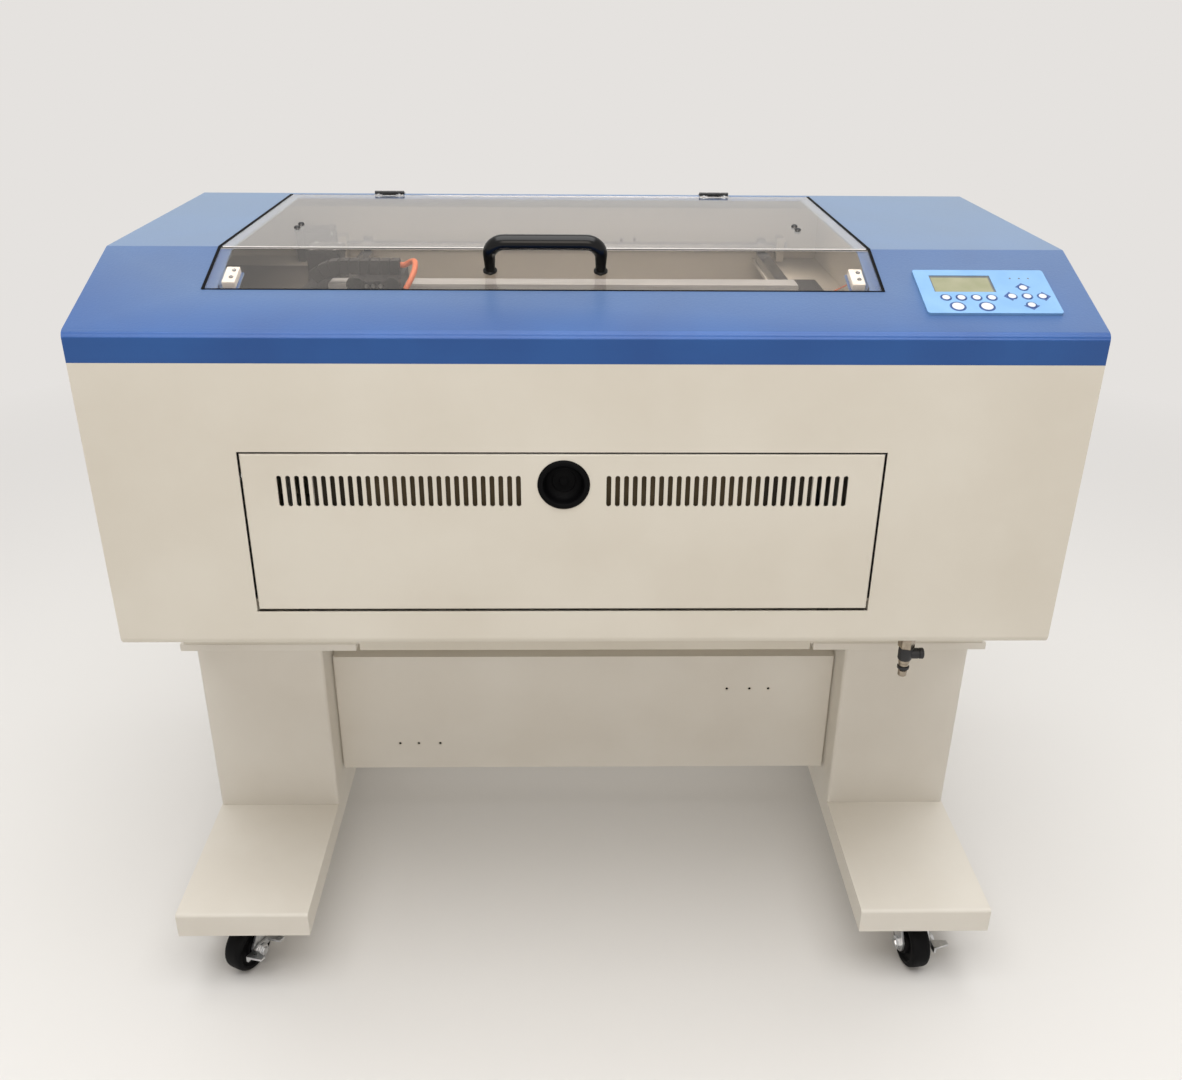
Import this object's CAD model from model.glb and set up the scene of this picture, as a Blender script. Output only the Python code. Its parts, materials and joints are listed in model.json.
"""Looks of a laser engraving and cutting machine on a castered stand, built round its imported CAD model."""
import json
import math

import bmesh
import bpy
from mathutils import Matrix, Vector


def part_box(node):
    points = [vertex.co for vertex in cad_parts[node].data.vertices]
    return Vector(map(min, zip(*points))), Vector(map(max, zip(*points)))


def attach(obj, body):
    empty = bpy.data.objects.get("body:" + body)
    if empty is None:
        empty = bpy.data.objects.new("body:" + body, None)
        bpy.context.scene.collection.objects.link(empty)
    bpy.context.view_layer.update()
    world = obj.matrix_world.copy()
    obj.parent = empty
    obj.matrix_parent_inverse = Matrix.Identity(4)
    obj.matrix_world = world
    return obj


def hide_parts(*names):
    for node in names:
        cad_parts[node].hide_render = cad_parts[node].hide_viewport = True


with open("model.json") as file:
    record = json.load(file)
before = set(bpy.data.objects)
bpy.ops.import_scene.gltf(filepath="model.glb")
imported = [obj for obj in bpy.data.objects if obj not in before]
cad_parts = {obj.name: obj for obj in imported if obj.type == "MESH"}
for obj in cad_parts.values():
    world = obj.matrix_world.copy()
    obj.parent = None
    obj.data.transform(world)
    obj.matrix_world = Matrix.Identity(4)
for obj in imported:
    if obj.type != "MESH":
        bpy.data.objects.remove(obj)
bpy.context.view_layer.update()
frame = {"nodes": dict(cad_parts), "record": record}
scene = bpy.context.scene
scene.view_settings.view_transform = "Standard"

MM = 0.001
NODE_BODY = {node: body for body, nodes in frame["record"]["behaviour"]["bodies"].items() for node in nodes}

# Places read from the CAD pieces
FRONT_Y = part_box("front_panel")[0].y
CAB_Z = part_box("front_panel")[0].z
COVER_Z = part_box("top_cover")[0].z
TOP_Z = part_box("top_cover")[1].z
LIP_H = 29
CREASE_Z = COVER_Z + LIP_H * MM
# Rise and depth of the cover's front slope, in millimetres
SLOPE_RISE, FOLD_RUN = 50, 141
SLOPE = math.atan2(SLOPE_RISE, FOLD_RUN)


# Camera at the photograph's place: its turn, lens and distance come from fitting the machine's corners
def place_camera():
    pitch, yaw, roll = math.radians(25.7), math.radians(-1.2), math.radians(0.5)
    frame_px, lens_px = 1182, 1135.5
    eye = (-0.0193, -1.3673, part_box("feet")[0].z + 1.0157)
    ahead = Vector((-math.sin(yaw) * math.cos(pitch), math.cos(yaw) * math.cos(pitch), -math.sin(pitch)))
    level = Vector((math.cos(yaw), math.sin(yaw), 0))
    upward = level.cross(ahead)
    right = level * math.cos(roll) + upward * math.sin(roll)
    up = upward * math.cos(roll) - level * math.sin(roll)
    data = bpy.data.cameras.new("photo_camera")
    data.sensor_fit = "HORIZONTAL"
    data.sensor_width = 36
    data.lens = data.sensor_width * lens_px / frame_px
    camera = bpy.data.objects.new("photo_camera", data)
    turn = Matrix((right, up, -ahead)).transposed().to_4x4()
    camera.matrix_world = Matrix.Translation(eye) @ turn
    scene.collection.objects.link(camera)
    scene.camera = camera


place_camera()


# Materials
def linear(hex_colour):
    parts = [int(hex_colour[i:i + 2], 16) / 255 for i in (1, 3, 5)]
    return tuple(c / 12.92 if c <= 0.04045 else ((c + 0.055) / 1.055) ** 2.4 for c in parts) + (1.0,)


def add(tree, kind, links=None, sockets=None, **settings):
    """Adds one node: settings go on the node, sockets are constants, links are (input, node, output)."""
    made = tree.nodes.new(kind)
    for key, value in settings.items():
        setattr(made, key, value)
    for key, value in (sockets or {}).items():
        made.inputs[key].default_value = value
    for key, source, output in links or []:
        tree.links.new(source.outputs[output], made.inputs[key])
    return made


def new_material(name, **sockets):
    made = bpy.data.materials.new(name)
    made.use_nodes = True
    shader = made.node_tree.nodes["Principled BSDF"]
    for key, value in sockets.items():
        shader.inputs[key.replace("_", " ")].default_value = value
    return made, made.node_tree, shader


def grain(tree, grain_mm, detail, stretch=(1, 1, 1)):
    """A cloudy pattern on Object coordinates whose cells are about grain_mm across."""
    where = add(tree, "ShaderNodeTexCoord")
    placed = add(tree, "ShaderNodeMapping", [("Vector", where, "Object")], {"Scale": stretch})
    return add(tree, "ShaderNodeTexNoise", [("Vector", placed, "Vector")],
               {"Scale": 1000 / grain_mm, "Detail": detail})


def set_stops(ramp, places, colours):
    for stop, place, colour in zip(ramp.color_ramp.elements, places, colours):
        stop.position = place
        stop.color = linear(colour)


def blend_colours(tree, shader, pattern, low, high):
    """Colours a finish from one shade to another along a pattern."""
    ramp = add(tree, "ShaderNodeValToRGB", [("Fac", pattern, "Fac")])
    set_stops(ramp, (0.35, 0.65), (low, high))
    tree.links.new(ramp.outputs["Color"], shader.inputs["Base Color"])


def roughen(tree, shader, pattern, middle, spread):
    """Lets a finish's gloss wander round a middle value along a pattern."""
    rough = add(tree, "ShaderNodeMapRange", [("Value", pattern, "Fac")],
                {"To Min": middle - spread, "To Max": middle + spread})
    tree.links.new(rough.outputs["Result"], shader.inputs["Roughness"])


def bump(tree, shader, pattern, strength, depth_mm):
    raised = add(tree, "ShaderNodeBump", [("Height", pattern, "Fac")],
                 {"Strength": strength, "Distance": depth_mm * MM})
    tree.links.new(raised.outputs["Normal"], shader.inputs["Normal"])


def powder_coat(name, low, high, grain_mm, depth_mm, rough, blotch_mm=160, **sockets):
    """Textured powder coat: an even satin colour, broken up by the fine orange peel of the baked powder."""
    made, tree, shader = new_material(name, **sockets)
    blend_colours(tree, shader, grain(tree, blotch_mm, 4), low, high)
    peel = grain(tree, grain_mm, 3)
    bump(tree, shader, peel, 0.35, depth_mm)
    roughen(tree, shader, peel, rough, 0.06)
    return made


def plated_steel(name, low, high, rough):
    """Zinc-plated or ground steel: a bright metal with the fine cloudy spangle of the bath."""
    made, tree, shader = new_material(name, Metallic=1.0)
    spangle = grain(tree, 6, 4)
    blend_colours(tree, shader, spangle, low, high)
    roughen(tree, shader, spangle, rough, 0.07)
    bump(tree, shader, grain(tree, 1.5, 2), 0.08, 0.05)
    return made


def moulded(name, low, high, rough, grain_mm=1.2, depth_mm=0.04, **sockets):
    """Moulded plastic or rubber: one colour with a fine mould grain and slightly uneven gloss."""
    made, tree, shader = new_material(name, **sockets)
    cloud = grain(tree, 25, 3)
    blend_colours(tree, shader, cloud, low, high)
    roughen(tree, shader, cloud, rough, 0.05)
    bump(tree, shader, grain(tree, grain_mm, 2), 0.2, depth_mm)
    return made


# Beige powder coat of the sheet steel. Its real peel is under 1 mm and is drawn at 2.2 mm, so that it shows
beige_coat = powder_coat("beige_powder_coat", "#d0c9bb", "#d6d0c3", 2.2, 0.10, 0.46)
stand_coat = powder_coat("stand_powder_coat", "#d6d0c5", "#dcd7cd", 2.2, 0.10, 0.46)
inner_coat = powder_coat("chamber_powder_coat", "#c6bfb2", "#cec7ba", 2.2, 0.10, 0.5)
# Blue hammer-textured coat of the cover: metal flake makes it glossier than the beige and its sheen blue
blue_coat = powder_coat("blue_textured_coat", "#0e4486", "#134b8e", 2.3, 0.24, 0.38, 90,
                        IOR=1.45, Metallic=0.1, Sheen_Weight=0.8, Sheen_Roughness=0.45,
                        Sheen_Tint=linear("#e3faff"))
# Zinc plate is pale and cloudy, ground steel a little darker and sharper, nickel on brass warm
zinc = plated_steel("zinc_plated_steel", "#b6b8ba", "#d2d3d4", 0.30)
ground_steel = plated_steel("ground_steel", "#a9abae", "#c2c4c6", 0.24)
nickel = plated_steel("nickel_plated_brass", "#8f8577", "#a89d8d", 0.24)
# Black paint on steel: satin, with a fine peel
black_paint = powder_coat("black_painted_steel", "#141416", "#1b1b1d", 1.6, 0.05, 0.45, 60)
# Glossy black nylon of the lid's handle, with narrow bright highlights
black_gloss = moulded("glossy_black_nylon", "#030304", "#060607", 0.2, 1.6, 0.02, Specular_IOR_Level=0.3)
# Matt black plastic of housings and plugs, with broad soft highlights
black_matt = moulded("matt_black_plastic", "#111113", "#19191b", 0.5)
# Grained black nylon of the finger pull, which gives back almost no light
black_grained = moulded("grained_black_nylon", "#020203", "#040405", 0.6, 1.0, 0.04, Specular_IOR_Level=0.08)
# Lacquer on the motors' laminations, a dull near-black
motor_lacquer = powder_coat("black_motor_lacquer", "#1a191a", "#232223", 1.2, 0.04, 0.42, 30)
# Nylon links, dry and dark grey
chain_nylon = moulded("chain_nylon", "#1b1b1d", "#262628", 0.5)
# Tyre rubber, black with hardly any gloss
wheel_rubber = moulded("black_wheel_rubber", "#030304", "#070708", 0.6, 1.5, 0.05, Specular_IOR_Level=0.12)
# White ABS of the interlock switches, clean with a soft sheen
white_plastic = moulded("white_abs", "#e2e0da", "#ebe9e4", 0.45)
# Polyester film of the keypad and the ink on it: flat even colours, slightly glossy
key_white = moulded("white_key_film", "#c6c8ca", "#ced0d2", 0.38, 0.8, 0.01)
overlay_film = moulded("light_blue_overlay_film", "#719dc8", "#79a4cd", 0.42, 0.8, 0.01)
ink_blue = moulded("blue_print_ink", "#2b4a82", "#34548c", 0.45, 0.8, 0.01)
# Display behind a clear window, grey-green, and the shaded edge round it
display_glass = moulded("display_window", "#8a8b6d", "#959479", 0.22, 2.0, 0.01)
display_edge = moulded("display_shadow_edge", "#50565b", "#5b6063", 0.35, 2.0, 0.01)
# Silicone hose, an even orange with a soft gloss
hose_rubber = moulded("orange_hose", "#c9673f", "#d8764b", 0.42, 1.5, 0.02)
# Dark grey coat of the deck's cover, dull
grey_coat = powder_coat("dark_grey_coat", "#4c4843", "#544f4a", 2.2, 0.08, 0.5)
# Dark felt that lines the door's light baffles, nearly black where no light reaches it
felt = moulded("brown_felt", "#4e432f", "#594c37", 0.9, 2.0, 0.1)
felt_shaded = moulded("brown_felt_shaded", "#2a2418", "#332b1f", 0.9, 2.0, 0.1)
# Heat-bent acrylic turns hazy along its fold, which reads as a pale line
bend_haze = moulded("hazy_acrylic_fold", "#bdb8b3", "#c6c1bc", 0.4, 1.5, 0.01)


def anodised(name, low, high, rough):
    """Anodised aluminium extrusion: matt silver drawn along the bar, duller than bare metal."""
    made, tree, shader = new_material(name, Metallic=0.5)
    drawn = grain(tree, 3, 4, stretch=(0.04, 1, 1))
    blend_colours(tree, shader, drawn, low, high)
    roughen(tree, shader, drawn, rough, 0.06)
    return made


aluminium = anodised("anodised_aluminium", "#b0b1b2", "#c2c3c4", 0.42)


def smoked_sheet(low, high, shadow):
    """Smoked acrylic sheet: clear and polished, it tints what is under it and mirrors the room."""
    made, tree, shader = new_material("smoked_acrylic", IOR=1.49, Roughness=0.02, Transmission_Weight=1.0,
                                      Sheen_Weight=0.03, Sheen_Roughness=0.35)
    blend_colours(tree, shader, grain(tree, 300, 2), low, high)
    clear = add(tree, "ShaderNodeBsdfTransparent", sockets={"Color": linear(shadow)})
    ray = add(tree, "ShaderNodeLightPath")
    either = add(tree, "ShaderNodeMixShader",
                 [("Fac", ray, "Is Shadow Ray"), (1, shader, "BSDF"), (2, clear, "BSDF")])
    tree.links.new(either.outputs["Shader"], tree.nodes["Material Output"].inputs["Surface"])
    return made


acrylic = smoked_sheet("#e8e2db", "#ede7e1", "#f6f3f0")


# Pieces
def put_on(piece, body, replaces):
    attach(piece, body)
    if replaces:
        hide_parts(*replaces)


def smooth_by_angle(mesh):
    for face in mesh.polygons:
        face.use_smooth = True
    mesh.set_sharp_from_angle(angle=math.radians(32))


def make_piece(name, form, material, body, replaces=()):
    """Turns a bmesh into a finished piece that rides on a body."""
    mesh = bpy.data.meshes.new(name)
    bmesh.ops.recalc_face_normals(form, faces=form.faces)
    form.to_mesh(mesh)
    form.free()
    smooth_by_angle(mesh)
    mesh.materials.append(material)
    piece = bpy.data.objects.new(name, mesh)
    scene.collection.objects.link(piece)
    put_on(piece, body, replaces)


def baked(piece):
    """Puts what a piece's modifiers make into its own mesh."""
    graph = bpy.context.evaluated_depsgraph_get()
    mesh = bpy.data.meshes.new_from_object(piece.evaluated_get(graph))
    piece.modifiers.clear()
    piece.data = mesh


def edge_rounded(node, material, width_mm, roll=None):
    """The CAD piece with its edges broken as folding and paint leave them; roll picks wider bends."""
    roll_mm, roll_steps = 1.9, 4
    form = bmesh.new()
    form.from_mesh(frame["nodes"][node].data)
    bmesh.ops.remove_doubles(form, verts=form.verts, dist=1e-6)
    bmesh.ops.dissolve_limit(form, angle_limit=math.radians(0.6), verts=form.verts, edges=form.edges)
    if roll:
        bends = [edge for edge in form.edges if all(roll(vert.co) for vert in edge.verts)]
        bends = [edge for edge in bends if len(edge.link_faces) == 2 and edge.calc_face_angle() > 1]
        bmesh.ops.bevel(form, geom=bends, offset=roll_mm * MM, segments=roll_steps, profile=0.5,
                        affect="EDGES")
    for face in form.faces:
        face.smooth = True
    mesh = bpy.data.meshes.new(node + "_finished")
    form.to_mesh(mesh)
    form.free()
    piece = bpy.data.objects.new(node + "_finished", mesh)
    scene.collection.objects.link(piece)
    rounding = piece.modifiers.new("rounding", "BEVEL")
    rounding.width = width_mm * MM
    rounding.segments = 2
    rounding.limit_method = "ANGLE"
    rounding.angle_limit = math.radians(35)
    flat = piece.modifiers.new("flat_faces", "WEIGHTED_NORMAL")
    flat.weight = 100
    baked(piece)
    piece.data.materials.clear()
    piece.data.materials.append(material)
    put_on(piece, NODE_BODY[node], (node,))


def painted(material, *nodes):
    """A CAD piece that keeps its own shape gets its finish."""
    for node in nodes:
        for slot in frame["nodes"][node].material_slots:
            slot.material = material


def circle(side, other, steps):
    """Directions round a circle that starts at side and turns towards other."""
    turns = [2 * math.pi * i / steps for i in range(steps)]
    return [side * math.cos(t) + other * math.sin(t) for t in turns]


def skin(form, rings):
    """Joins rings of points with faces, each to the next; a ring of one point is a tip."""
    for first, second in zip(rings, rings[1:]):
        count = max(len(first), len(second))
        for i in range(count):
            j = (i + 1) % count
            corners = [first[i % len(first)], first[j % len(first)]]
            corners += [second[j % len(second)], second[i % len(second)]]
            corners = list(dict.fromkeys(corners))
            if len(corners) > 2:
                form.faces.new(corners)


def turned(form, profile, centre, axis, steps):
    """Adds a lathe form: profile points are (radius, distance along the axis), in millimetres."""
    axis = Vector(axis).normalized()
    side = axis.orthogonal().normalized()
    around = circle(side, axis.cross(side), steps)
    rings = []
    for radius, along in profile:
        middle = Vector(centre) + axis * (along * MM)
        ways = around if radius else around[:1]
        rings.append([form.verts.new(middle + way * (radius * MM)) for way in ways])
    skin(form, rings)


def swept(form, points, radii, steps):
    """Adds a tube through points with a radius at each, closed by flat ends."""
    rings = []
    side = None
    for i, point in enumerate(points):
        ahead = (points[min(i + 1, len(points) - 1)] - points[max(i - 1, 0)]).normalized()
        side = ahead.orthogonal() if side is None else side - ahead * side.dot(ahead)
        side.normalize()
        around = circle(side, ahead.cross(side), steps)
        rings.append([form.verts.new(point + way * radii[i]) for way in around])
    skin(form, rings)
    form.faces.new(list(reversed(rings[0])))
    form.faces.new(rings[-1])


def turned_piece(name, forms, material, body, replaces=()):
    """A piece of lathe forms, each given as (profile, centre, axis, steps)."""
    form = bmesh.new()
    for profile, centre, axis, steps in forms:
        turned(form, profile, centre, axis, steps)
    make_piece(name, form, material, body, replaces)


def slab_piece(name, blocks, material, body, replaces=()):
    """A piece of plain blocks, each given by two corners."""
    form = bmesh.new()
    for low, high in blocks:
        middle = (Vector(low) + Vector(high)) / 2
        span = Vector(high) - Vector(low)
        bmesh.ops.create_cube(form, size=1, matrix=Matrix.Translation(middle) @ Matrix.Diagonal((*span, 1)))
    make_piece(name, form, material, body, replaces)


def on_slope(x, up_slope, out):
    """A point on the cover's front slope, in millimetres: sideways, up the slope and out of it."""
    y = up_slope * math.cos(SLOPE) - out * math.sin(SLOPE)
    z = up_slope * math.sin(SLOPE) + out * math.cos(SLOPE)
    return Vector((x * MM, FRONT_Y + y * MM, CREASE_Z + z * MM))


SLOPE_OUT = Vector((0, -math.sin(SLOPE), math.cos(SLOPE)))


# The front door's outer edge is rolled over more widely than the edges of the other sheets
door_low, door_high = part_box("front_door")


def on_door_rim(point):
    """Whether a point lies on the outer edge of the door's front face."""
    rim = min(point.x - door_low.x, door_high.x - point.x, point.z - door_low.z, door_high.z - point.z)
    near = 0.01 * MM
    return abs(point.y - door_low.y) < near and rim < near


# Finish of each CAD piece that keeps its form, and how far its edges are broken, in millimetres
ROUNDED = (
    (stand_coat, {"feet": 2.2, "columns": 1.2, "top_plates": 1.2, "cross_panel": 1.0}),
    (beige_coat, {"front_panel": 0.7, "side_panels": 0.7, "rear_panel": 0.7, "base_tub": 0.8,
                  "front_door": 0.35}),
    (inner_coat, {"chamber_walls": 0.6}),
    (blue_coat, {"top_cover": 1.0}),
    (acrylic, {"lid_window": 0.6}),
    (zinc, {"stand_bolts": 0.5, "caster_plates": 0.6, "front_left_fork": 0.6, "front_right_fork": 0.6,
            "rear_left_fork": 0.6, "rear_right_fork": 0.6, "front_left_brake": 0.6,
            "front_right_brake": 0.6}),
    (white_plastic, {"interlock_switches": 0.8}),
    (black_matt, {"lens_carriage": 1.2}),
    (aluminium, {"gantry_beam": 0.8, "work_table": 0.8}),
    (black_matt, {"power_inlet": 0.5}),
    (black_gloss, {"power_switch": 0.5}),
)
for material, widths in ROUNDED:
    for node, width in widths.items():
        edge_rounded(node, material, width, roll=on_door_rim if node == "front_door" else None)
painted(zinc, "exhaust_spigot", "electronics_box")
painted(ground_steel, "table_posts", "y_rails", "y_drive_shaft")
painted(aluminium, "laser_tube")
painted(overlay_film, "keypad_overlay")
painted(display_glass, "display_window")


# Geometry node trees for what repeats
def new_tree(name, sizes):
    """A tree whose inputs are its seed, its material and its named sizes."""
    tree = bpy.data.node_groups.new(name, "GeometryNodeTree")
    inputs = [("Geometry", "Geometry"), ("Material", "Material")] + [(label, "Float") for label in sizes]
    for label, kind in inputs:
        made = tree.interface.new_socket(label, in_out="INPUT", socket_type="NodeSocket" + kind)
        if label in sizes:
            made.default_value = sizes[label]
    tree.interface.new_socket("Geometry", in_out="OUTPUT", socket_type="NodeSocketGeometry")
    return tree, add(tree, "NodeGroupInput")


def end_tree(tree, start, links):
    """Puts copies on points as the links say, makes them real and gives them the material."""
    placed = add(tree, "GeometryNodeInstanceOnPoints", links)
    real = add(tree, "GeometryNodeRealizeInstances", [("Geometry", placed, "Instances")])
    coat = add(tree, "GeometryNodeSetMaterial",
               [("Geometry", real, "Geometry"), ("Material", start, "Material")])
    add(tree, "NodeGroupOutput", [("Geometry", coat, "Geometry")])
    return tree


def grown(name, tree, seed, material, body, slot, replaces=(), **sizes):
    """Runs a tree on a seed mesh and keeps the result as a plain piece."""
    piece = bpy.data.objects.new(name, seed)
    scene.collection.objects.link(piece)
    nodes = piece.modifiers.new("nodes", "NODES")
    nodes.node_group = tree
    sizes["Material"] = material
    for made in tree.interface.items_tree:
        key = made.name.replace(" ", "_")
        if made.in_out == "INPUT" and key in sizes:
            nodes[made.identifier] = sizes[key]
    baked(piece)
    smooth_by_angle(piece.data)
    put_on(piece, body, replaces)


def screw_tree():
    """Screw heads with a hexagon socket, one on each point along its facing and as wide as its size."""
    tree, start = new_tree("socket_screws", {"Head height": 0.6, "Crown": 0.8, "Socket": 0.46})
    facing = add(tree, "GeometryNodeInputNamedAttribute", sockets={"Name": "facing"},
                 data_type="FLOAT_VECTOR")
    size = add(tree, "GeometryNodeInputNamedAttribute", sockets={"Name": "size"}, data_type="FLOAT")
    aim = add(tree, "FunctionNodeAlignRotationToVector", [("Vector", facing, "Attribute")], axis="Z")
    head = add(tree, "GeometryNodeMeshCone",
               [("Radius Top", start, "Crown"), ("Depth", start, "Head height")],
               {"Vertices": 20, "Radius Bottom": 1.0})
    prism = add(tree, "GeometryNodeMeshCylinder",
                [("Radius", start, "Socket"), ("Depth", start, "Head height")], {"Vertices": 6})
    rise = add(tree, "ShaderNodeCombineXYZ", [("Z", start, "Head height")])
    drill = add(tree, "GeometryNodeTransform", [("Geometry", prism, "Mesh"), ("Translation", rise, "Vector")])
    drilled = add(tree, "GeometryNodeMeshBoolean", [("Mesh 1", head, "Mesh"), ("Mesh 2", drill, "Geometry")],
                  operation="DIFFERENCE")
    return end_tree(tree, start, [("Points", start, "Geometry"), ("Instance", drilled, "Mesh"),
                                  ("Rotation", aim, "Rotation"), ("Scale", size, "Attribute")])


SCREWS = screw_tree()


def screws(name, places, material, body):
    """Screws at (point, facing, head radius in millimetres)."""
    seed = bpy.data.meshes.new(name)
    seed.from_pydata([point for point, facing, radius in places], [], [])
    seed.attributes.new("facing", "FLOAT_VECTOR", "POINT")
    seed.attributes.new("size", "FLOAT", "POINT")
    for i, (point, facing, radius) in enumerate(places):
        seed.attributes["facing"].data[i].vector = facing
        seed.attributes["size"].data[i].value = radius * MM
    grown(name, SCREWS, seed, material, body, "zinc_steel")


# Caster wheels: a rubber tyre with rounded shoulders on a hub with a recessed web
JOINTS = {row["name"]: row for row in frame["record"]["behaviour"]["joints"]}
# Half of the tyre's section, and the axle's nut, as (radius, distance from the wheel's middle)
TYRE = [(5.2, 14.4), (12.4, 14.4), (13.5, 13.8), (14.0, 12.6), (14.6, 8.8), (16.0, 8.2), (21.6, 8.2),
        (23.0, 8.8), (23.8, 11.0), (24.6, 11.8), (26.6, 12.0), (28.6, 11.5), (30.3, 10.0), (31.2, 7.8),
        (31.46, 4.6), (31.5, 0.0)]
AXLE_NUT = [(5.3, 18.1), (8.4, 18.1), (8.4, 21.6), (7.6, 22.4), (5.2, 22.4), (4.6, 24.0), (0, 24.0)]
BRAKE_T = 3.7


def caster_wheel(corner):
    spin = JOINTS[corner + "_spin"]
    form = bmesh.new()
    loop = TYRE + [(r, -w) for r, w in reversed(TYRE[:-1])]
    turned(form, loop + loop[:1], spin["pos_m"], spin["axis"], 64)
    bmesh.ops.remove_doubles(form, verts=form.verts, dist=1e-7)
    make_piece(corner + "_tyre", form, wheel_rubber, corner + "_wheel", (corner + "_wheel",))
    nuts = []
    for side in (1, -1):
        shift = BRAKE_T if side > 0 and corner.startswith("front") else 0
        nuts.append(([(r, w + shift) for r, w in AXLE_NUT], spin["pos_m"], Vector(spin["axis"]) * side, 6))
    turned_piece(corner + "_axle_nuts", nuts, zinc, corner + "_fork")


for corner in ("front_left", "front_right", "rear_left", "rear_right"):
    caster_wheel(corner)


# Lid handle: one bar bent down at both ends, thicker along the grip
HANDLE_X, HANDLE_UP = (-97.5, 11.5), 106.0


def handle_bar():
    left, right = HANDLE_X
    middle, height, bend = (left + right) / 2, 32.0, 15.0
    foot_r, grip_more, swell_from, swell_over = 5.2, 2.3, 8.0, 22.0
    line = [(left, 0.0), (left, 6.0), (left, height - bend)]
    line += [(left + bend - bend * math.cos(t), height - bend + bend * math.sin(t))
             for t in (math.pi / 2 * i / 10 for i in range(1, 11))]
    line += [(left + bend + (middle - left - bend) * i / 6, height) for i in range(1, 7)]
    whole = line + [(2 * middle - x, out) for x, out in reversed(line[:-1])]
    radii = []
    for x, out in whole:
        swell = min(1.0, max(0.0, (out - swell_from) / swell_over))
        radii.append((foot_r + grip_more * swell * swell * (3 - 2 * swell)) * MM)
    form = bmesh.new()
    swept(form, [on_slope(x, HANDLE_UP, out) for x, out in whole], radii, 28)
    collar = [(0, 0.05), (7.0, 0.05), (7.0, 1.2), (6.2, 2.2), (4.9, 2.4)]
    for x in HANDLE_X:
        turned(form, collar, on_slope(x, HANDLE_UP, 0), SLOPE_OUT, 32)
    make_piece("handle_bar", form, black_gloss, "lid", ("lid_handle",))


handle_bar()


# Finger pull of the front door: a dished black cup with a rolled rim and fine turned rings
def finger_pull():
    low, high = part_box("door_pull")
    centre = Vector(((low.x + high.x) / 2, FRONT_Y, (low.z + high.z) / 2))
    dish = [(0, -11.2), (4.0, -11.2), (4.6, -10.7), (5.4, -11.1), (11.0, -11.0), (11.6, -10.4), (12.4, -10.7),
            (16.0, -9.4), (18.4, -6.6), (19.4, -3.0), (19.8, -0.4)]
    rim = [(20.6, 1.2), (21.8, 1.9), (23.6, 1.9), (25.0, 1.4), (25.8, 0.5), (25.9, 0.06)]
    back = [(21.5, 0.06), (21.5, -13.6), (20.8, -13.9), (0, -13.9)]
    turned_piece("finger_pull", [(dish + rim + back, centre, (0, -1, 0), 72)], black_grained, "door",
                 ("door_pull",))


finger_pull()


# Keypad: domed keys in their own bodies, printed rings and arrow points, display edge and lamps
PAD_X, PAD_S, PAD_T = 385.0, 70.0, 2.4
KEY_R, WIDE_KEY_R = 4.6, 6.6
KEYS = {"key_1": (-42.0, -11.5, KEY_R), "key_2": (-27.2, -11.5, KEY_R), "key_3": (-12.4, -11.5, KEY_R),
        "key_4": (2.4, -11.5, KEY_R), "key_start": (-34.0, -26.7, WIDE_KEY_R),
        "key_stop": (-6.0, -26.7, WIDE_KEY_R), "key_up": (37.5, 5.8, KEY_R),
        "key_down": (37.5, -23.8, KEY_R), "key_left": (22.7, -9.0, KEY_R),
        "key_right": (52.3, -9.0, KEY_R), "key_center": (37.5, -9.0, KEY_R)}
# Where the printed points of the arrow keys look, in degrees
POINTS = {"key_up": 90, "key_down": 270, "key_left": 180, "key_right": 0}


def on_pad(x, s, out):
    """A point on the keypad, in millimetres from its middle: sideways, up the slope and out of it."""
    return on_slope(PAD_X + x, PAD_S + s, out)


def keypad_keys():
    dome = [(0, 3.02), (0.7, 3.0), (0.9, 2.82), (1.0, 2.50), (1.0, 0.92), (0, 0.92)]
    for key, (x, s, radius) in KEYS.items():
        white = 0.81 if radius == KEY_R else 0.87
        cap = [(0, 3.12), (0.45, 3.10), (white - 0.06, 3.04), (white, 2.92), (white, 2.6), (0, 2.6)]
        for part, profile, material, node in (("dome", dome, ink_blue, (key,)), ("cap", cap, key_white, ())):
            button = [(radius * r, out) for r, out in profile]
            turned_piece(key + "_" + part, [(button, on_pad(x, s, 0), SLOPE_OUT, 40)], material, key,
                         node)


def printed_rings():
    """Printed rings round the keys; those of the arrow keys run out to a point."""
    print_out, gap, point_reach, point_turn = PAD_T + 0.04, 0.36, 8.3, math.radians(42)
    steps = 48
    turns = [2 * math.pi * i / steps for i in range(steps)]
    form = bmesh.new()
    for key, (x, s, radius) in KEYS.items():
        reaches = [radius + (1.0 if radius == KEY_R else 1.35)] * steps
        if key in POINTS:
            for i, t in enumerate(turns):
                turn = t - math.radians(POINTS[key])
                off = abs(math.atan2(math.sin(turn), math.cos(turn)))
                side = point_reach * math.cos(point_turn) / max(0.2, math.cos(off - point_turn))
                reaches[i] = max(radius + 0.7, side if off < math.radians(88) else 0)
        rings = []
        for ring in (reaches, [radius + gap] * steps):
            places = [on_pad(x + reach * math.cos(t), s + reach * math.sin(t), print_out)
                      for t, reach in zip(turns, ring)]
            rings.append([form.verts.new(place) for place in places])
        skin(form, rings)
    make_piece("printed_rings", form, ink_blue, "cabinet")


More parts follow.
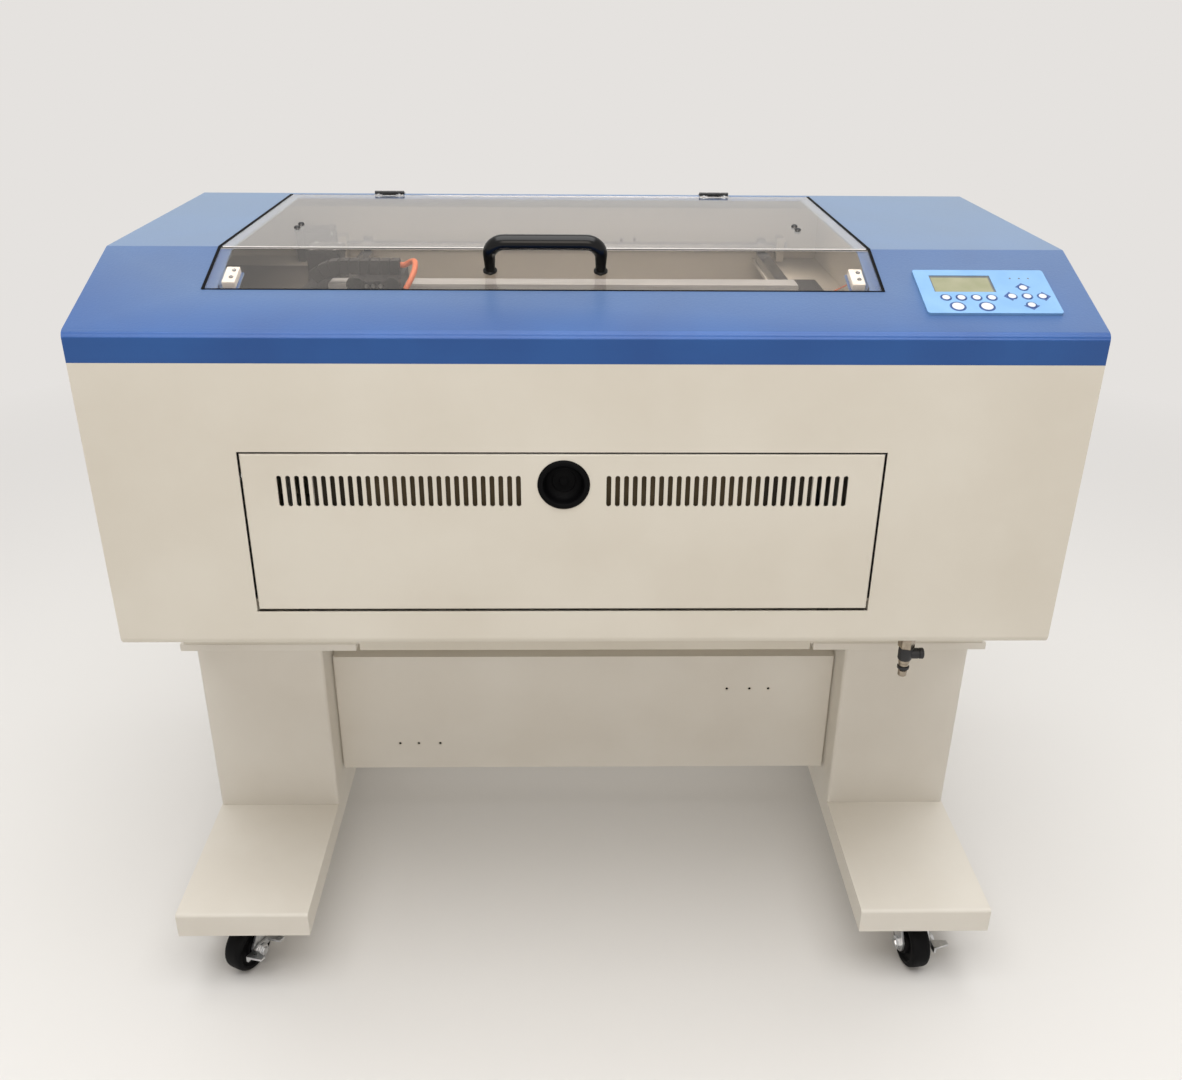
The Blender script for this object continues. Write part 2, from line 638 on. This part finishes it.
def display_frame():
    """The shaded upper and side edges of the sunken display, and the three lamps beside it."""
    width, height, x, s, sunk = 59.6, 28.6, -20.5, 13.0, 0.34
    left, right, low, high = x - width / 2, x + width / 2, s - height / 2, s + height / 2
    eave = high - 3.0
    form = bmesh.new()
    for x0, s0, x1, s1 in ((left, eave, right, high), (right - 2.0, low, right, eave),
                           (left, low, left + 0.9, eave)):
        outline = ((x0, s0), (x1, s0), (x1, s1), (x0, s1))
        form.faces.new([form.verts.new(on_pad(x, s, PAD_T - sunk)) for x, s in outline])
    make_piece("display_shadow_edge", form, display_edge, "cabinet")
    lamp = [(0, 0.35), (0.7, 0.3), (1.0, 0.1), (1.0, 0)]
    lamps = [(lamp, on_pad(lamp_x, 22.5, PAD_T), SLOPE_OUT, 16) for lamp_x in (29.0, 38.0, 47.0)]
    turned_piece("status_lamps", lamps, display_edge, "cabinet")


keypad_keys()
printed_rings()
display_frame()


# Air fitting under the cabinet: nickel hexagon and collar, black body and elbow, black knob with a nickel tip
def air_valve():
    low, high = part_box("air_valve_knob")
    down = (0, 0, -1)
    top = Vector(((low.x + high.x) / 2, (low.y + high.y) / 2, CAB_Z))
    elbow_drop = 22
    barrel = [(0, 14.1), (6.8, 14.1), (7.4, 14.8), (7.5, 16), (7.5, 27.4), (6.8, 28.9), (0, 28.9)]
    elbow = [(0, 5), (5.8, 5), (5.9, 13.4), (5.3, 13.8), (5.3, 14.6), (6.0, 15.0), (6.0, 18.8), (5.4, 19.4),
             (3.1, 19.5), (3.1, 8.0), (0, 8.0)]
    hexagon = [(0, 0.03), (8.2, 0.03), (8.9, 0.6), (8.9, 13.2), (8.2, 13.9), (0, 13.9)]
    collar = [(0, 29.0), (6.0, 29.0), (6.0, 32.6), (5.5, 33.2), (5.5, 35.9), (0, 35.9)]
    wing = [(0, 36.4), (2.4, 36.4), (5.2, 36.8), (6.4, 37.5), (6.4, 40.0), (5.4, 40.8), (2.5, 41.1),
            (2.3, 43.0), (0, 43.0)]
    tip = [(0, 41.6), (3.9, 41.8), (4.8, 42.6), (4.9, 48.2), (4.2, 49.2), (0, 49.3)]
    bend = top + Vector((0, 0, -elbow_drop * MM))
    turned_piece("air_valve_body", [(barrel, top, down, 40), (elbow, bend, (1, 0, 0), 36)], black_matt,
                 "cabinet", ("air_fitting",))
    turned_piece("air_valve_nickel", [(hexagon, top, down, 6), (collar, top, down, 36)], nickel, "cabinet")
    turned_piece("air_valve_wing", [(wing, top, down, 32)], black_matt, "valve_knob",
                 ("air_valve_knob",))
    turned_piece("air_valve_tip", [(tip, top, down, 32)], nickel, "valve_knob")


air_valve()


# Lid hinges: plated leaves with small screws, and blackened barrels that share one pin line
HINGE_X, HINGE_W, KNUCKLE_W = (-248.0, 165.0), 37.0, 17.0


def hinge_leaves(body, node, near, far, barrels):
    pin = Vector(JOINTS["lid_hinge"]["pos_m"])
    under, tongue, over = TOP_Z + 0.03 * MM, TOP_Z + 0.7 * MM, TOP_Z + 1.2 * MM
    screw_x, screw_y, screw_r = 13, (near + far) / 2, 1.7
    leaves, knuckles, heads = [], [], []
    for x in HINGE_X:
        leaves.append((((x - HINGE_W / 2) * MM, near, under), ((x + HINGE_W / 2) * MM, far, over)))
        for start, end in barrels:
            leaves.append((((x + start) * MM, min(near, pin.y), tongue),
                           ((x + end) * MM, max(far, pin.y), over)))
            knuckle = [(0, start), (1.6, start), (1.9, start + 0.4), (1.9, end - 0.4), (1.6, end), (0, end)]
            knuckles.append((knuckle, (x * MM, pin.y, pin.z), (1, 0, 0), 24))
        for side in (-1, 1):
            heads.append((((x + side * screw_x) * MM, screw_y, over), (0, 0, 1), screw_r))
    slab_piece(node + "_leaves", leaves, zinc, body, (node,))
    turned_piece(node + "_barrels", knuckles, black_paint, body)
    screws(node + "_screws", heads, ground_steel, body)


def lid_hinges():
    pin_y = JOINTS["lid_hinge"]["pos_m"][1]
    near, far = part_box("lid_hinges")[0].y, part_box("hinge_brackets")[1].y
    inner, outer, play, clear = KNUCKLE_W / 2, HINGE_W / 2, 0.4, 3 * MM
    hinge_leaves("lid", "lid_hinges", near, pin_y - clear, [(-inner, inner)])
    hinge_leaves("cabinet", "hinge_brackets", pin_y + clear, far,
                 [(-outer, -inner - play), (inner + play, outer)])


lid_hinges()


# Black seals in the gaps round the lid and the front door
def drawn_out(form, outline, left, right):
    """Adds a bar along X: its outline is (depth, height) points in metres."""
    ends = [[form.verts.new((x, y, z)) for y, z in outline] for x in (left, right)]
    for end in ends:
        form.faces.new(end)
    skin(form, ends)


def cover_height(y):
    """Height of the cover's outside at a depth in millimetres behind the front face."""
    return TOP_Z - max(0, FOLD_RUN - y) * math.tan(SLOPE) * MM


def seals():
    low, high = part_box("lid_window")
    lid_front, lid_back = (low.y - FRONT_Y) / MM, (high.y - FRONT_Y) / MM

    def strip(depths, top, bottom):
        upper = [(FRONT_Y + y * MM, cover_height(y) + top * MM) for y in depths]
        lower = [(FRONT_Y + y * MM, cover_height(y) + bottom * MM) for y in reversed(depths)]
        return upper + lower

    gap, clear, side_top, front_top, root = 1.8, 0.4, 0.6, 0.3, -4.0
    lid = bmesh.new()
    side = (lid_front - gap, FOLD_RUN, lid_back)
    # Each side seal fills its gap and laps a little over the cover
    for edge, way in ((low.x, -1), (high.x, 1)):
        for start, end, bottom in ((0.2, 1.9, root), (1.9, 3.1, 0.04)):
            left, right = sorted((edge + way * start * MM, edge + way * end * MM))
            drawn_out(lid, strip(side, side_top, bottom), left, right)
    drawn_out(lid, strip((lid_front - gap, lid_front - clear), front_top, root), low.x, high.x)
    make_piece("lid_seal", lid, black_grained, "cabinet")
    low, high = door_low, door_high
    near, far, inner, outer, foot = FRONT_Y + 0.7 * MM, FRONT_Y + 1.9 * MM, 0.5 * MM, 1.5 * MM, 12 * MM
    door = [((low.x - outer, near, low.z + foot), (low.x - inner, far, high.z + inner)),
            ((high.x + inner, near, low.z + foot), (high.x + outer, far, high.z + inner)),
            ((low.x - outer, near, high.z + inner), (high.x + outer, far, high.z + outer))]
    slab_piece("door_seal", door, black_grained, "cabinet")


seals()


# Dark lining of the light baffles behind the door's vents
def baffle_lining():
    edge, pitch, mid_z = 36 * MM, 8.62 * MM, door_high.z - 39 * MM
    near, far, bottom, top = FRONT_Y + 9.2 * MM, FRONT_Y + 9.9 * MM, mid_z - 21 * MM, mid_z + 20 * MM
    # First and last slot of each stretch, counted from the door's nearer edge
    for name, first, last, material in (("shaded", 3.6, 9.5, felt_shaded), ("lit", 9.5, 27.4, felt)):
        blocks = []
        for start, way in ((door_low.x + edge, 1), (door_high.x - edge, -1)):
            left, right = sorted((start + way * first * pitch, start + way * last * pitch))
            blocks.append(((left, near, bottom), (right, far, top)))
        slab_piece("baffle_lining_" + name, blocks, material, "door")


baffle_lining()


# Thin cable of the lid's right interlock, from the chamber's wall to a clip under the cover's slope
def interlock_cable():
    route = ((320.5, 225, -33), (270, 146, -42), (227, 66, -31))
    wall, middle, clip = (Vector((x * MM, FRONT_Y + y * MM, TOP_Z + z * MM)) for x, y, z in route)
    steps, radius = 16, 0.8 * MM
    shares = [k / steps for k in range(steps + 1)]
    path = [wall * (1 - t) ** 2 + middle * 2 * t * (1 - t) + clip * t ** 2 for t in shares]
    form = bmesh.new()
    swept(form, path, [radius] * len(path), 12)
    make_piece("interlock_cable", form, hose_rubber, "cabinet")
    block = (clip - Vector((5, 4, 5)) * MM, clip + Vector((5, 4, 2.4)) * MM)
    slab_piece("interlock_cable_clip", [block], black_matt, "cabinet")


interlock_cable()


# Dark covers on the gantry's trucks and on the deck at the left
def dark_covers():
    low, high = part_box("gantry_beam")
    truck, top, play, front_t, front_h, top_t = 28 * MM, high.z - 5 * MM, 0.3 * MM, 2 * MM, 22 * MM, 1 * MM
    over = top + 0.4 * MM
    covers = []
    for x in (low.x, high.x - truck):
        left, right = x + play, x + truck - play
        covers.append(((left, low.y - play, top - front_h), (right, low.y + front_t, over)))
        covers.append(((left, low.y + front_t, top - top_t), (right, high.y + play, over)))
    slab_piece("truck_covers", covers, black_matt, "gantry")
    walls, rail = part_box("chamber_walls"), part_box("y_rails")
    edge, back_gap = 1 * MM, 40 * MM
    deck = ((walls[0].x + edge, rail[0].y, rail[0].z + 0.03 * MM),
            (rail[0].x - edge, rail[1].y - back_gap, rail[0].z + 0.7 * MM))
    slab_piece("deck_cover", [deck], grey_coat, "cabinet")


# Ring plugs in the cross panel's holes, and small dark plugs in the chamber's back wall
def hole_plugs():
    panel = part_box("cross_panel")[0]
    body = NODE_BODY["cross_panel"]
    ring = [(1.8, 0.05), (2.95, 0.05), (2.95, 1.8), (1.8, 1.8), (1.8, 0.05)]
    core = [(0, 0.5), (1.75, 0.5), (1.75, 1.8), (0, 1.8)]
    holes = ((-248, 40), (-223, 40), (-194, 40), (189, 126), (219, 126), (244, 126))
    places = [(x * MM, panel.y, panel.z + z * MM) for x, z in holes]
    turned_piece("hole_plugs", [(ring, place, (0, 1, 0), 24) for place in places], beige_coat, body)
    turned_piece("plug_middles", [(core, place, (0, 1, 0), 24) for place in places], black_grained, body)
    wall_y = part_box("chamber_walls")[1].y - 3 * MM
    plugs = []
    for x, drop, radius in ((52, 75, 2.4), (70, 74, 2.4), (45, 85, 1.6), (58, 85, 1.6), (84, 85, 2.2),
                            (97, 85, 2.2)):
        dome = [(0, 1.0), (0.7 * radius, 0.9), (radius, 0.4), (radius, 0)]
        plugs.append((dome, (x * MM, wall_y, TOP_Z - drop * MM), (0, -1, 0), 20))
    turned_piece("wall_plugs", plugs, black_matt, "cabinet")


dark_covers()
hole_plugs()


# Lid screws: domed black heads on top, nuts under the sheet, and the two screws that hold the handle
def lid_fasteners():
    sheet = 4
    dome = [(0, 2.2), (1.4, 2.1), (2.6, 1.6), (3.4, 0.8), (3.6, 0.03), (0, 0.03)]
    nut = [(0, 0), (3.6, 0.03), (3.6, 3.0), (0, 3.0)]
    forms = []
    for x in (-316.5, 232):
        for y in (245, 266):
            top = Vector((x * MM, FRONT_Y + y * MM, TOP_Z))
            forms.append((dome, top, (0, 0, 1), 28))
            forms.append((nut, top - Vector((0, 0, sheet * MM)), (0, 0, -1), 6))
    forms += [(dome, on_slope(x, HANDLE_UP, -sheet), -SLOPE_OUT, 28) for x in HANDLE_X]
    turned_piece("lid_fasteners", forms, black_paint, "lid", ("lid_screws",))


lid_fasteners()


# Drag chain: hinged links along the run and round the bend
def chain_tree():
    """Links along a line: each is a shell with a narrower tongue that reaches into the next one."""
    tongue_share = (1.16, 0.8, 0.72)
    tree, start = new_tree("chain_links", {"Pitch": 10 * MM, "Link": 9.4 * MM, "Width": 16 * MM,
                                           "Height": 14.6 * MM})
    curve = add(tree, "GeometryNodeMeshToCurve", [("Mesh", start, "Geometry")])
    points = add(tree, "GeometryNodeCurveToPoints", [("Curve", curve, "Curve"), ("Length", start, "Pitch")],
                 mode="LENGTH")
    tangent = add(tree, "FunctionNodeAlignRotationToVector", [("Vector", points, "Tangent")], axis="X")
    size = add(tree, "ShaderNodeCombineXYZ",
               [("X", start, "Link"), ("Y", start, "Width"), ("Z", start, "Height")])
    shell = add(tree, "GeometryNodeMeshCube", [("Size", size, "Vector")])
    narrow = add(tree, "ShaderNodeVectorMath", [(0, size, "Vector")], {1: tongue_share}, operation="MULTIPLY")
    tongue = add(tree, "GeometryNodeMeshCube", [("Size", narrow, "Vector")])
    link = add(tree, "GeometryNodeJoinGeometry")
    tree.links.new(shell.outputs["Mesh"], link.inputs["Geometry"])
    tree.links.new(tongue.outputs["Mesh"], link.inputs["Geometry"])
    return end_tree(tree, start, [("Points", points, "Points"), ("Instance", link, "Geometry"),
                                  ("Rotation", tangent, "Rotation")])


def drag_chain():
    low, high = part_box("drag_chain")
    y, top = (low.y + high.y) / 2, high.z - 7.5 * MM
    right, run, bend = high.x, 62 * MM, 45 * MM
    path = [(right - 5 * MM, y, top), (right - run, y, top)]
    path += [(right - run - bend * math.sin(t), y, top - bend + bend * math.cos(t))
             for t in (math.radians(36) * i / 12 for i in range(1, 13))]
    seed = bpy.data.meshes.new("chain_line")
    seed.from_pydata(path, [(i, i + 1) for i in range(len(path) - 1)], [])
    grown("chain_links", chain_tree(), seed, chain_nylon, "carriage", "matt_black", ("drag_chain",))


drag_chain()


# Air hose: a soft tube from the chain's end round to the lens carriage, with a dark tie near its lower end.
# The carriage's top lies this far below the chain's
CARRIAGE_DROP = 15 * MM


def air_hose():
    chain_end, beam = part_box("drag_chain")[1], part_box("gantry_beam")
    start = Vector((chain_end.x + 4 * MM, (beam[0].y + beam[1].y) / 2, chain_end.z - CARRIAGE_DROP))
    knots = [(-4, -12, 9), (1, -12, 9), (8, -14, 13), (13, -21, 14), (14, -32, 9), (11, -44, 1), (5, -53, -9),
             (-2, -58, -18), (-6, -58, -25), (-7, -55, -27), (-7, -50, -27)]
    knots = [start + Vector(knot) * MM for knot in knots]
    steps, radius, tie_at = 6, 3 * MM, 36
    line = []
    # A smooth line through the knots: each stretch takes its bend from the knots before and after it
    for before, here, there, after in zip(knots[:1] + knots, knots, knots[1:], knots[2:] + knots[-1:]):
        for k in range(steps):
            t = k / steps
            square = 2 * before - 5 * here + 4 * there - after
            cube = 3 * here - before - 3 * there + after
            line.append(0.5 * (2 * here + (there - before) * t + square * t * t + cube * t ** 3))
    line.append(knots[-1])
    form = bmesh.new()
    swept(form, line, [radius] * len(line), 18)
    make_piece("air_hose_tube", form, hose_rubber, "carriage", ("air_hose",))
    band = [(2.9, -1.2), (3.6, -1.2), (3.6, 1.2), (2.9, 1.2), (2.9, -1.2)]
    tie = (band, line[tie_at], line[tie_at + 1] - line[tie_at], 24)
    turned_piece("air_hose_tie", [tie], black_matt, "carriage")


air_hose()


# Pale line along the lid's fold, where the bent sheet turns hazy
def lid_fold_line():
    low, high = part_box("lid_window")
    fold_y, radius, inset, lift, steps = FRONT_Y + FOLD_RUN * MM, 8 * MM, 1.5 * MM, 0.06 * MM, 8
    middle_y, middle_z = fold_y + radius * math.tan(SLOPE / 2), TOP_Z - radius
    form = bmesh.new()
    rows = []
    for i in range(steps + 1):
        turn = SLOPE * i / steps
        y = middle_y - (radius + lift) * math.sin(turn)
        z = middle_z + (radius + lift) * math.cos(turn)
        rows.append([form.verts.new((x, y, z)) for x in (low.x + inset, high.x - inset)])
    for first, second in zip(rows, rows[1:]):
        form.faces.new((first[0], first[1], second[1], second[0]))
    make_piece("lid_fold_line", form, bend_haze, "lid")


lid_fold_line()


# Stepper motors: a lacquered stack of laminations between two cast ends, with a screw at each corner
def stepper(node, axis):
    """A motor whose shaft lies along axis, 0 for X and 2 for Z."""
    low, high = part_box(node)
    cap, step, chamfer, gap = 9 * MM, 0.8 * MM, 4 * MM, 0.3 * MM
    screw_in, screw_r = 6 * MM, 2.4
    across = [i for i in range(3) if i != axis]

    def point(along, a, b):
        place = Vector((0, 0, 0))
        place[axis], place[across[0]], place[across[1]] = along, a, b
        return place

    stack = bmesh.new()
    ends = bmesh.new()
    spans = [(low[axis] + cap, high[axis] - cap, step, stack),
             (low[axis], low[axis] + cap - gap, 0.0, ends),
             (high[axis] - cap + gap, high[axis], 0.0, ends)]
    for first, last, inset, form in spans:
        (a0, a1), (b0, b1) = [(low[i] + inset, high[i] - inset) for i in across]
        outline = [(a0 + chamfer, b0), (a1 - chamfer, b0), (a1, b0 + chamfer), (a1, b1 - chamfer),
                   (a1 - chamfer, b1), (a0 + chamfer, b1), (a0, b1 - chamfer), (a0, b0 + chamfer)]
        rings = [[form.verts.new(point(along, a, b)) for a, b in outline] for along in (first, last)]
        for ring in rings:
            form.faces.new(ring)
        skin(form, rings)
    body = NODE_BODY[node]
    make_piece(node + "_stack", stack, motor_lacquer, body, (node,))
    make_piece(node + "_ends", ends, black_paint, body)
    rows = [(low[i] + screw_in, high[i] - screw_in) for i in across]
    places = [(point(high[axis], a, b), point(1, 0, 0), screw_r) for a in rows[0] for b in rows[1]]
    screws(node + "_screws", places, zinc, body)


stepper("x_motor", 2)
stepper("y_motor", 0)


# Lens carriage: knurled knobs on its front, bright screws and rings on the lens tube
def knurled(form, centre, axis, radius, length):
    """Adds a knob whose side is ribbed, with its two rims turned down."""
    steps, groove = 56, 0.94
    axis = Vector(axis)
    side = axis.orthogonal().normalized()
    around = circle(side, axis.cross(side), steps)
    rings = []
    for share, along in ((0.82, 0.0), (1.0, 0.1), (1.0, 0.86), (0.84, 1.0)):
        middle = centre + axis * length * along
        reaches = [radius * share * (1.0 if i % 2 else groove) for i in range(steps)]
        rings.append([form.verts.new(middle + way * reach) for way, reach in zip(around, reaches)])
    skin(form, rings)
    form.faces.new(rings[0])
    form.faces.new(rings[-1])


def carriage_details():
    low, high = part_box("lens_carriage")
    front, top = low.y + 9 * MM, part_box("drag_chain")[1].z - CARRIAGE_DROP
    ahead, knob_r, knob_l = (0, -1, 0), 8.5 * MM, 9.2 * MM
    form = bmesh.new()
    for x in (low.x + 6 * MM, high.x - 7 * MM):
        knurled(form, Vector((x, front - 0.2 * MM, top - 2 * MM)), ahead, knob_r, knob_l)
    make_piece("carriage_knobs", form, black_matt, "carriage")
    heads = [((low.x + x * MM, front, top - z * MM), ahead, 2.3) for x in (17, 24.5, 32) for z in (5, 15)]
    heads += [((low.x + x * MM, front, top - 30 * MM), ahead, 3.0) for x in (10, 40)]
    heads += [((low.x + x * MM, front + 8 * MM, top), (0, 0, 1), 2.6) for x in (8, 42)]
    screws("carriage_screws", heads, zinc, "carriage")
    tube = Vector((low.x + 25 * MM, front + 16 * MM, low.z))
    ring = [(10.1, 0), (10.9, 0.4), (10.9, 3.6), (10.1, 4), (10.1, 0)]
    rings = [(ring, tube + Vector((0, 0, z * MM)), (0, 0, 1), 40) for z in (15, 24)]
    turned_piece("lens_tube_rings", rings, nickel, "carriage")


carriage_details()


# Honeycomb of the work table: six-sided aluminium cells standing a little proud of its plate
def cell_tree():
    """One six-sided cell, with square walls, on each point."""
    tree, start = new_tree("honeycomb_cells", {"Cell radius": 6.5 * MM, "Wall": 0.6 * MM})
    outline = add(tree, "GeometryNodeMeshCircle", [("Radius", start, "Cell radius")], {"Vertices": 6})
    path = add(tree, "GeometryNodeMeshToCurve", [("Mesh", outline, "Mesh")])
    wall = add(tree, "GeometryNodeCurvePrimitiveQuadrilateral",
               [("Width", start, "Wall"), ("Height", start, "Wall")])
    cell = add(tree, "GeometryNodeCurveToMesh", [("Curve", path, "Curve"), ("Profile Curve", wall, "Curve")])
    return end_tree(tree, start, [("Points", start, "Geometry"), ("Instance", cell, "Mesh")])


def honeycomb():
    low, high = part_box("work_table")
    radius, frame_w, wall = 6.5 * MM, 30 * MM, 0.6 * MM
    column, row = 1.5 * radius, math.sqrt(3) * radius
    columns = int((high.x - low.x - 2 * frame_w) / column)
    rows = int((high.y - low.y - 2 * frame_w) / row)
    left, front = low.x + frame_w, low.y + frame_w
    points = [(left + (i + 0.6) * column, front + (k + 0.5 + 0.5 * (i % 2)) * row, high.z + 0.5 * wall)
              for i in range(columns) for k in range(rows)]
    seed = bpy.data.meshes.new("cell_places")
    seed.from_pydata(points, [], [])
    grown("table_honeycomb", cell_tree(), seed, aluminium, "table", "aluminium",
          Cell_radius=radius, Wall=wall)


honeycomb()


# Screws on the outer panels, the exhaust collar, the power inlet and the interlock switches
def panel_screws():
    low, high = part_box("rear_panel")
    back, left, right = high.y, low.x, high.x
    behind, edge, panel_r = (0, 1, 0), 15 * MM, 4.0
    rear = [((left + edge + (right - left - 2 * edge) * i / 5, back, z), behind, panel_r)
            for i in range(6) for z in (CAB_Z + edge, COVER_Z - edge)]
    screws("rear_panel_screws", rear, zinc, "cabinet")
    sides = [((x, FRONT_Y + y * MM, z), (math.copysign(1, x), 0, 0), panel_r)
             for x in (left, right) for y in (30, 320, 610) for z in (CAB_Z + 26 * MM, COVER_Z - 22 * MM)]
    screws("side_panel_screws", sides, zinc, "cabinet")
    low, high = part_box("exhaust_spigot")
    centre = (low + high) / 2
    reach, flange_y = (high.x - low.x) / 2 - 6 * MM, back + 2 * MM
    turns = [math.pi * (i + 0.5) / 3 for i in range(6)]
    flange = [((centre.x + reach * math.cos(t), flange_y, centre.z + reach * math.sin(t)), behind, 3.0)
              for t in turns]
    screws("exhaust_screws", flange, zinc, "cabinet")
    low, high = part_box("power_inlet")
    inlet = [((x, high.y, z), behind, 2.6) for x in (low.x + 5 * MM, high.x - 5 * MM)
             for z in (low.z + 6 * MM, high.z - 6 * MM)]
    screws("inlet_screws", inlet, zinc, "cabinet")
    low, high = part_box("interlock_switches")
    for side, x in (("left", low.x / MM + 6.5), ("right", high.x / MM - 6.5)):
        places = [(on_slope(x + shift, s, -4.6), SLOPE_OUT, 2.4) for shift, s in ((2.0, 109.0), (1.5, 97.0))]
        screws(side + "_interlock_screws", places, ground_steel, "cabinet")


# Three flat pins in the power inlet
def inlet_pins():
    low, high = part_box("power_inlet")
    middle_x, middle_z = (low.x + high.x) / 2, low.z + 16.5 * MM
    half_w, half_h, tip, root = 1, 2, high.y - 6 * MM, high.y - 17 * MM
    pins = [((middle_x + (x - half_w) * MM, root, middle_z + (z - half_h) * MM),
             (middle_x + (x + half_w) * MM, tip, middle_z + (z + half_h) * MM))
            for x, z in ((-7, 3), (7, 3), (0, -3))]
    slab_piece("inlet_pins", pins, nickel, "cabinet")


panel_screws()
inlet_pins()


# Pale floor that turns into the pale room far from the object, and soft even light as in a white room
ROOM_PALE = "#e5e2df"


def pale_floor():
    reach, near, far = 12.0, 0.9, 2.6
    form = bmesh.new()
    corners = ((-reach, -reach), (reach, -reach), (reach, reach), (-reach, reach))
    form.faces.new([form.verts.new((x, y, 0)) for x, y in corners])
    mesh = bpy.data.meshes.new("pale_floor")
    form.to_mesh(mesh)
    form.free()
    pale, tree, shader = new_material("pale_floor", Base_Color=linear("#dfddda"), Roughness=0.9)
    where = add(tree, "ShaderNodeTexCoord")
    away = add(tree, "ShaderNodeVectorMath", [("Vector", where, "Object")], operation="LENGTH")
    share = add(tree, "ShaderNodeMapRange", [("Value", away, "Value")], {"From Min": near, "From Max": far})
    room = add(tree, "ShaderNodeEmission", sockets={"Color": linear(ROOM_PALE), "Strength": 1.0})
    both = add(tree, "ShaderNodeMixShader",
               [("Fac", share, "Result"), (1, shader, "BSDF"), (2, room, "Emission")])
    tree.links.new(both.outputs["Shader"], tree.nodes["Material Output"].inputs["Surface"])
    mesh.materials.append(pale)
    floor = bpy.data.objects.new("pale_floor", mesh)
    scene.collection.objects.link(floor)


def soft_light():
    """A pale room that lights the object more from behind and shows one even shade, and two soft panels."""
    world = bpy.data.worlds.new("soft_room")
    scene.world = world
    world.use_nodes = True
    tree = world.node_tree
    room = tree.nodes["Background"]
    way = add(tree, "ShaderNodeTexCoord")
    parts = add(tree, "ShaderNodeSeparateXYZ", [("Vector", way, "Generated")])
    ramp = add(tree, "ShaderNodeValToRGB", [("Fac", parts, "Y")])
    set_stops(ramp, (0.1, 0.45), ("#8e8d8c", "#f6f4f1"))
    seen = add(tree, "ShaderNodeLightPath")
    direct = add(tree, "ShaderNodeMath", [(0, seen, "Is Camera Ray"), (1, seen, "Is Glossy Ray")],
                 operation="MAXIMUM")
    shows = add(tree, "ShaderNodeMath", [(0, direct, "Value"), (1, seen, "Is Transmission Ray")],
                operation="MAXIMUM")
    # Inputs 6 and 7 and output 2 of this node are its colours
    shown = add(tree, "ShaderNodeMix", [("Factor", shows, "Value"), (6, ramp, "Color")],
                {7: linear(ROOM_PALE)}, data_type="RGBA")
    tree.links.new(shown.outputs[2], room.inputs["Color"])
    room.inputs["Strength"].default_value = 1.0
    panels = (("ceiling_panel", (0, -0.6, 3.0), (0, -0.1, 0.4), (3.0, 3.0), 98, "#ffffff"),
              ("front_panel_light", (0, -2.2, 1.45), (0, 0, 0.35), (1.0, 1.0), 9.0, "#fff4e8"))
    for name, place, aim, (width, height), power, tint in panels:
        lamp = bpy.data.lights.new(name, "AREA")
        lamp.shape = "RECTANGLE"
        lamp.size = width
        lamp.size_y = height
        lamp.energy = power
        lamp.color = linear(tint)[:3]
        holder = bpy.data.objects.new(name, lamp)
        turn = (Vector(aim) - Vector(place)).to_track_quat("-Z", "Y").to_matrix().to_4x4()
        holder.matrix_world = Matrix.Translation(place) @ turn
        scene.collection.objects.link(holder)


pale_floor()
soft_light()
